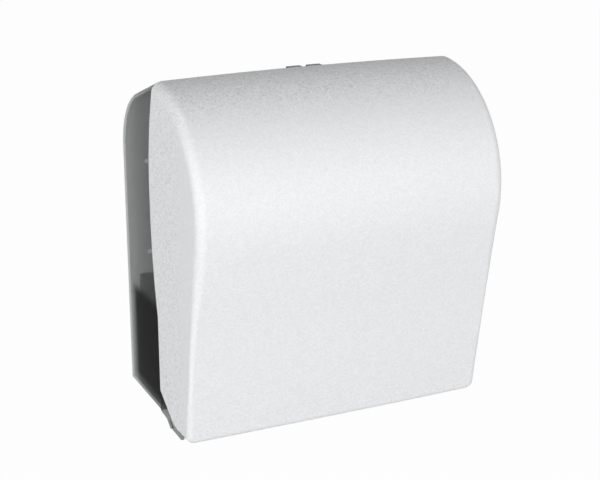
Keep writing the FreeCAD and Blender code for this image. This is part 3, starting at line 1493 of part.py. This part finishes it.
for thing in doc.Objects:
    if "Invalid" in thing.State or "Error" in thing.State:
        raise RuntimeError(f"{thing.Name} did not build: {thing.State}")
for label, thing in nodes.items():
    if thing.Shape.isNull() or not thing.Shape.isValid():
        raise RuntimeError(f"{label} has no valid shape")

os.makedirs("parts", exist_ok=True)
for label, thing in nodes.items():
    thing.Shape.exportStep(f"parts/{label}.step")
print(len(nodes), "sub-parts")
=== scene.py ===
"""Dresses the roll towel dispenser: materials, the latch's spring, studio light and camera."""
import json

import bpy
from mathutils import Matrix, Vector

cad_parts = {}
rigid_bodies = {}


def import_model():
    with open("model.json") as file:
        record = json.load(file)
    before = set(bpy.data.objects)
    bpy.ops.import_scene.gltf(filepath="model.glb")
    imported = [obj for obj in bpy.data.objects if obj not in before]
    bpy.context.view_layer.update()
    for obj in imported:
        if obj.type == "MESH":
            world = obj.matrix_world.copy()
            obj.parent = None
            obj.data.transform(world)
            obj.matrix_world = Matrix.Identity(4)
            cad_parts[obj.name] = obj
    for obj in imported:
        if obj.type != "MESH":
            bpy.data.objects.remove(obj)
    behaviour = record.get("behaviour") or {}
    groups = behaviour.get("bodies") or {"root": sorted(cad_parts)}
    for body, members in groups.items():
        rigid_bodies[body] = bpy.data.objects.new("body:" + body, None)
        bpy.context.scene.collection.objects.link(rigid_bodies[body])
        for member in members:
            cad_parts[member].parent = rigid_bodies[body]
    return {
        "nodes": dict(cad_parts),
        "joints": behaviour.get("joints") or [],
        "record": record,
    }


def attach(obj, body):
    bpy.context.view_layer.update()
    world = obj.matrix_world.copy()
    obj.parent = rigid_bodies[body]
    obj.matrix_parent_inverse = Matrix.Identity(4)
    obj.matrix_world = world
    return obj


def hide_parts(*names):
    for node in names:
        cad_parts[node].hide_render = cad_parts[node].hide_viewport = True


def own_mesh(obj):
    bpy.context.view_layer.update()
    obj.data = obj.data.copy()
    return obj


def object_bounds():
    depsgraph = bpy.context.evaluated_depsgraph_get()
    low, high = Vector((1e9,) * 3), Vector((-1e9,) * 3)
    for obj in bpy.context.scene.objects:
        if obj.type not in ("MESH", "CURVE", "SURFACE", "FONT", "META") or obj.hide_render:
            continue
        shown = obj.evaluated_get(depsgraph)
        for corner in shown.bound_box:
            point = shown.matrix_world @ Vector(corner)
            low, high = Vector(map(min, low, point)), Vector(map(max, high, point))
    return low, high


# The photograph's camera, in metres and in pixels of its 600 pixel wide image.
CAMERA_PLACE = Vector((-0.5813, -1.3354, 0.4162))
CAMERA_AIM = Vector((0.0, -0.100, -0.009))
IMAGE_WIDTH = 600.0
FOCAL_PIXELS = 1370.0
AXIS_RIGHT_PIXELS = 5.3
AXIS_UP_PIXELS = 17.0
SENSOR_MM = 36.0

# The dispenser hangs on a wall, so the floor lies well below it.
FLOOR_DROP = 0.9
FLOOR_SIZE = 60.0
FLOOR_WHITE_SHARE = 0.98

# The way from which the world is brightest, and its levels opposite to that and there.
BRIGHT_WAY = (-0.1, -0.6, -0.55)
WORLD_LEVELS = (0.05, 0.46)

WHITE = (1.0, 1.0, 1.0, 1.0)

# What the lamps point at, and the place, size and watts of each.
LAMP_AIM = (0.0, -0.1, 0.0)
LAMPS = {
    "key": ((0.15, -2.3, 0.55), (2.2, 1.2), 34.0),
    "fill": ((-2.2, -0.7, 0.35), (1.6, 1.4), 26.0),
}

# The cover's flakes fade from the first of these depths to the second, which is its front.
# Painted light: the fainter flakes in front stand in for their wash-out in the bright light there.
PAINTED_FLAKE_WASHOUT = (-0.150, -0.190)

# Painted shade where the gear housings show dark through the smoked body: the soft edges of the painted
# dark area's top, foot and back, and of its darkest part.
PAINTED_SHADE_TOP = (-0.069, -0.083)
PAINTED_SHADE_FOOT = (-0.192, -0.172)
PAINTED_SHADE_BACK = (-0.014, -0.034)
PAINTED_SHADE_DARKEST = (-0.05, -0.07)

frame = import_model()
cad_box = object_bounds()
nodes = frame["nodes"]


class Finish:
    """A material and the few kinds of node that its looks are made from."""

    def __init__(self, name):
        self.material = bpy.data.materials.new(name)
        self.material.use_nodes = True
        self.tree = self.material.node_tree
        self.shader = self.tree.nodes["Principled BSDF"]
        self.place = self.tree.nodes.new("ShaderNodeTexCoord").outputs["Object"]

    def set(self, **values):
        """Plain numbers and colours on the shader's own sockets."""
        for name, value in values.items():
            self.shader.inputs[name.replace("_", " ")].default_value = value

    def drive(self, name, output):
        self.tree.links.new(output, self.shader.inputs[name])

    def stretched(self, x, y, z):
        """The object's own coordinates, scaled along each axis."""
        mapping = self.tree.nodes.new("ShaderNodeMapping")
        mapping.inputs["Scale"].default_value = (x, y, z)
        self.tree.links.new(self.place, mapping.inputs["Vector"])
        return mapping.outputs["Vector"]

    def noise(self, scale, detail=2.0, vector=None):
        texture = self.tree.nodes.new("ShaderNodeTexNoise")
        texture.inputs["Scale"].default_value = scale
        texture.inputs["Detail"].default_value = detail
        self.tree.links.new(vector or self.place, texture.inputs["Vector"])
        return texture.outputs["Fac"]

    def flakes(self, scale):
        """One random number for each small cell."""
        texture = self.tree.nodes.new("ShaderNodeTexVoronoi")
        texture.inputs["Scale"].default_value = scale
        self.tree.links.new(self.place, texture.inputs["Vector"])
        split = self.tree.nodes.new("ShaderNodeSeparateColor")
        self.tree.links.new(texture.outputs["Color"], split.inputs["Color"])
        return split.outputs["Red"]

    def fade(self, axis, start, end):
        """Rises smoothly from 0 to 1 between two places along one of the object's axes."""
        split = self.tree.nodes.new("ShaderNodeSeparateXYZ")
        self.tree.links.new(self.place, split.inputs["Vector"])
        rise = self.tree.nodes.new("ShaderNodeMapRange")
        rise.interpolation_type = "SMOOTHSTEP"
        rise.inputs["From Min"].default_value = start
        rise.inputs["From Max"].default_value = end
        self.tree.links.new(split.outputs[axis], rise.inputs["Value"])
        return rise.outputs["Result"]

    def blended(self, share, first, second):
        """The first colour turning into the second as the share goes from 0 to 1."""
        mix = self.tree.nodes.new("ShaderNodeMix")
        mix.data_type = "RGBA"
        for name, output in (("Factor", share), ("A", first), ("B", second)):
            sockets = [socket for socket in mix.inputs if socket.name == name and socket.enabled]
            self.tree.links.new(output, sockets[0])
        return [socket for socket in mix.outputs if socket.enabled][0]

    def math(self, operation, first, second):
        step = self.tree.nodes.new("ShaderNodeMath")
        step.operation = operation
        for socket, value in zip(step.inputs, (first, second)):
            if isinstance(value, float):
                socket.default_value = value
            else:
                self.tree.links.new(value, socket)
        return step.outputs["Value"]

    def ramp(self, value, *stops):
        """Colours or greys at stops from 0 to 1."""
        node = self.tree.nodes.new("ShaderNodeValToRGB")
        elements = node.color_ramp.elements
        while len(elements) < len(stops):
            elements.new(1.0)
        for element, (position, colour) in zip(elements, stops):
            element.position = position
            shade = colour if isinstance(colour, tuple) else (colour, colour, colour)
            element.color = (*shade, 1.0)
        self.tree.links.new(value, node.inputs["Fac"])
        return node.outputs["Color"]

    def bump(self, height, depth, strength=1.0):
        node = self.tree.nodes.new("ShaderNodeBump")
        node.inputs["Distance"].default_value = depth
        node.inputs["Strength"].default_value = strength
        self.tree.links.new(height, node.inputs["Height"])
        self.drive("Normal", node.outputs["Normal"])


def white_cover():
    """Off-white moulding with pale and grey flakes about a millimetre across, fainter in front: painted
    light, the flakes washed out as in the bright light there.
    """
    finish = Finish("white_cover")
    flake = finish.flakes(720.0)
    cloud = finish.noise(300.0, 3.0)
    speckle = finish.math("ADD", finish.math("MULTIPLY", flake, 0.65),
                          finish.math("MULTIPLY", cloud, 0.35))
    strong = finish.ramp(speckle, (0.18, (0.62, 0.635, 0.65)), (0.36, (0.805, 0.815, 0.825)),
                         (0.62, (0.82, 0.83, 0.84)), (0.80, (0.93, 0.935, 0.94)))
    soft = finish.ramp(speckle, (0.18, (0.765, 0.775, 0.785)), (0.84, (0.845, 0.855, 0.865)))
    # Painted light: the flakes fade towards the front as if washed out by bright light.
    finish.drive("Base Color", finish.blended(finish.fade("Y", *PAINTED_FLAKE_WASHOUT), strong, soft))
    finish.drive("Roughness", finish.ramp(flake, (0.0, 0.5), (1.0, 0.66)))
    finish.bump(speckle, 0.00005, 0.6)
    return finish.material


def white_inner():
    """Plain off-white moulding, slightly cloudy."""
    finish = Finish("white_inner")
    finish.drive("Base Color", finish.ramp(finish.noise(60.0, 4.0), (0.3, (0.74, 0.75, 0.76)),
                                           (0.7, (0.80, 0.81, 0.82))))
    finish.set(Roughness=0.5)
    finish.bump(finish.noise(1800.0), 0.00003)
    return finish.material


def smoked_body():
    """Smoked plastic with painted light, paler towards the wall, and painted shade, dark where the gear
    housings lie inside it.
    """
    finish = Finish("smoked_body")
    # Painted light: paler towards the wall, as if lit through the smoked plastic from there.
    painted_wall_light = finish.ramp(finish.fade("Y", 0.0, -0.1), (0.05, (0.48, 0.495, 0.485)),
                              (0.35, (0.38, 0.395, 0.387)), (0.85, (0.28, 0.295, 0.288)))
    # Painted shade: the body dark where the gear housings show through it, darkest towards the front.
    level = finish.math("MULTIPLY", finish.fade("Z", *PAINTED_SHADE_TOP), finish.fade("Z", *PAINTED_SHADE_FOOT))
    painted_housing_shade = finish.math("MULTIPLY", level, finish.fade("Y", *PAINTED_SHADE_BACK))
    dark = finish.ramp(finish.fade("Y", *PAINTED_SHADE_DARKEST), (0.0, 0.008), (1.0, 0.004))
    finish.drive("Base Color", finish.blended(painted_housing_shade, painted_wall_light, dark))
    finish.drive("Roughness", finish.ramp(finish.noise(18.0, 3.0), (0.3, 0.16), (0.7, 0.22)))
    finish.bump(finish.noise(900.0), 0.00001)
    finish.set(Transmission_Weight=0.9, IOR=1.045, Specular_IOR_Level=0.1)
    return finish.material


def moulded(name, dark, light, roughness, grain):
    """Plain moulding with a fine eroded grain."""
    finish = Finish(name)
    finish.drive("Base Color", finish.ramp(finish.noise(45.0, 5.0), (0.3, dark), (0.7, light)))
    finish.drive("Roughness", finish.ramp(finish.noise(700.0), (0.3, roughness - 0.06),
                                          (0.7, roughness + 0.06)))
    finish.bump(finish.noise(grain, 3.0), 0.00005)
    return finish.material


def rubber():
    """Black rubber, matt and slightly rough."""
    finish = Finish("rubber")
    finish.drive("Base Color", finish.ramp(finish.noise(120.0, 4.0), (0.3, 0.028), (0.7, 0.05)))
    finish.drive("Roughness", finish.ramp(finish.noise(500.0), (0.3, 0.62), (0.7, 0.78)))
    finish.bump(finish.noise(900.0, 4.0), 0.00008)
    return finish.material


def drawn_steel():
    """Bright steel with fine draw lines along the shafts."""
    finish = Finish("drawn_steel")
    lines = finish.noise(1.0, 2.0, finish.stretched(25.0, 2600.0, 2600.0))
    finish.drive("Base Color", finish.ramp(lines, (0.3, (0.55, 0.56, 0.57)),
                                           (0.7, (0.68, 0.69, 0.70))))
    finish.drive("Roughness", finish.ramp(lines, (0.3, 0.2), (0.7, 0.36)))
    finish.bump(lines, 0.00001)
    finish.set(Metallic=1.0)
    return finish.material


def zinc():
    """Zinc plate, slightly warm and cloudy."""
    finish = Finish("zinc")
    cloud = finish.noise(300.0, 4.0)
    finish.drive("Base Color", finish.ramp(cloud, (0.3, (0.62, 0.61, 0.56)),
                                           (0.7, (0.74, 0.73, 0.71))))
    finish.drive("Roughness", finish.ramp(cloud, (0.3, 0.28), (0.7, 0.42)))
    finish.set(Metallic=1.0)
    return finish.material


finishes = {
    "white_cover": white_cover(),
    "white_inner": white_inner(),
    "smoked_body": smoked_body(),
    "black_plastic": moulded("black_plastic", 0.018, 0.026, 0.42, 1500.0),
    "grey_plastic": moulded("grey_plastic", (0.40, 0.41, 0.42), (0.45, 0.46, 0.47), 0.46, 1300.0),
    "acetal": moulded("acetal", (0.72, 0.72, 0.68), (0.78, 0.78, 0.75), 0.36, 600.0),
    "rubber": rubber(),
    "steel": drawn_steel(),
    "zinc": zinc(),
}

for part in frame["record"]["subparts"]:
    slots = nodes[part["node"]].data.materials
    slots.clear()
    slots.append(finishes[part["material_slot"]])


def latch_coil():
    """The latch's spring as a copy of its own, attached to the latch press's parent body so that it stays
    seated at its foot.
    """
    spring = nodes["latch_spring"]
    press = [joint for joint in frame["joints"] if joint["name"] == "latch_press"][0]
    coil = bpy.data.objects.new("latch_coil", spring.data.copy())
    coil.matrix_world = spring.matrix_world
    bpy.context.scene.collection.objects.link(coil)
    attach(coil, press["parent"])
    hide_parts("latch_spring")
    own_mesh(coil)


latch_coil()


def seen_directly(tree):
    """1 for what the camera sees, straight or by gloss or glass, and 0 for the rest."""
    path = tree.nodes.new("ShaderNodeLightPath")
    seen = path.outputs["Is Camera Ray"]
    for other in ("Is Glossy Ray", "Is Transmission Ray"):
        either = tree.nodes.new("ShaderNodeMath")
        either.operation = "MAXIMUM"
        tree.links.new(seen, either.inputs[0])
        tree.links.new(path.outputs[other], either.inputs[1])
        seen = either.outputs["Value"]
    return seen


def mixed(tree, share, lit, white):
    """The lit shader turning into the white one as the share goes from 0 to 1."""
    mix = tree.nodes.new("ShaderNodeMixShader")
    tree.links.new(share, mix.inputs["Fac"])
    tree.links.new(lit, mix.inputs[1])
    tree.links.new(white, mix.inputs[2])
    return mix.outputs["Shader"]


def studio_world():
    """Soft light from all round, strongest in front and weaker from above, against plain white."""
    world = bpy.data.worlds.new("studio")
    bpy.context.scene.world = world
    world.use_nodes = True
    tree = world.node_tree
    soft = tree.nodes["Background"]
    soft.inputs["Color"].default_value = WHITE
    way = tree.nodes.new("ShaderNodeTexCoord")
    towards = tree.nodes.new("ShaderNodeVectorMath")
    towards.operation = "DOT_PRODUCT"
    tree.links.new(way.outputs["Generated"], towards.inputs[0])
    towards.inputs[1].default_value = BRIGHT_WAY
    level = tree.nodes.new("ShaderNodeMapRange")
    level.inputs["From Min"].default_value = -1.0
    level.inputs["To Min"].default_value, level.inputs["To Max"].default_value = WORLD_LEVELS
    tree.links.new(towards.outputs["Value"], level.inputs["Value"])
    tree.links.new(level.outputs["Result"], soft.inputs["Strength"])
    white = tree.nodes.new("ShaderNodeBackground")
    white.inputs["Color"].default_value = WHITE
    shown = mixed(tree, seen_directly(tree), soft.outputs["Background"], white.outputs["Background"])
    tree.links.new(shown, tree.nodes["World Output"].inputs["Surface"])


def studio_floor():
    """A pale floor, well below the part, that shows nearly white and keeps a faint shadow."""
    half = FLOOR_SIZE / 2
    height = cad_box[0][2] - FLOOR_DROP
    mesh = bpy.data.meshes.new("floor")
    corners = [(-half, -half, height), (half, -half, height), (half, half, height), (-half, half, height)]
    mesh.from_pydata(corners, [], [(0, 1, 2, 3)])
    floor = bpy.data.objects.new("floor", mesh)
    bpy.context.scene.collection.objects.link(floor)
    paint = bpy.data.materials.new("pale_floor")
    paint.use_nodes = True
    tree = paint.node_tree
    matte = tree.nodes["Principled BSDF"]
    matte.inputs["Base Color"].default_value = (0.8, 0.8, 0.8, 1.0)
    matte.inputs["Roughness"].default_value = 0.9
    white = tree.nodes.new("ShaderNodeEmission")
    share = tree.nodes.new("ShaderNodeMath")
    share.operation = "MULTIPLY"
    tree.links.new(seen_directly(tree), share.inputs[0])
    share.inputs[1].default_value = FLOOR_WHITE_SHARE
    shown = mixed(tree, share.outputs["Value"], matte.outputs["BSDF"], white.outputs["Emission"])
    tree.links.new(shown, tree.nodes["Material Output"].inputs["Surface"])
    mesh.materials.append(paint)


def soft_box(name, place, size, watts):
    lamp = bpy.data.lights.new(name, "AREA")
    lamp.shape = "RECTANGLE"
    lamp.size, lamp.size_y = size
    lamp.energy = watts
    holder = bpy.data.objects.new(name, lamp)
    bpy.context.scene.collection.objects.link(holder)
    holder.location = place
    holder.rotation_euler = (Vector(LAMP_AIM) - Vector(place)).to_track_quat("-Z", "Y").to_euler()


def photo_camera():
    camera = bpy.data.objects.new("camera", bpy.data.cameras.new("camera"))
    bpy.context.scene.collection.objects.link(camera)
    camera.location = CAMERA_PLACE
    camera.rotation_euler = (CAMERA_AIM - CAMERA_PLACE).to_track_quat("-Z", "Y").to_euler()
    camera.data.sensor_width = SENSOR_MM
    camera.data.lens = FOCAL_PIXELS / IMAGE_WIDTH * SENSOR_MM
    camera.data.shift_x = -AXIS_RIGHT_PIXELS / IMAGE_WIDTH
    camera.data.shift_y = -AXIS_UP_PIXELS / IMAGE_WIDTH
    bpy.context.scene.camera = camera


studio_world()
studio_floor()
for lamp_name, (place, size, watts) in LAMPS.items():
    soft_box(lamp_name, place, size, watts)
photo_camera()
bpy.context.scene.view_settings.view_transform = "Standard"
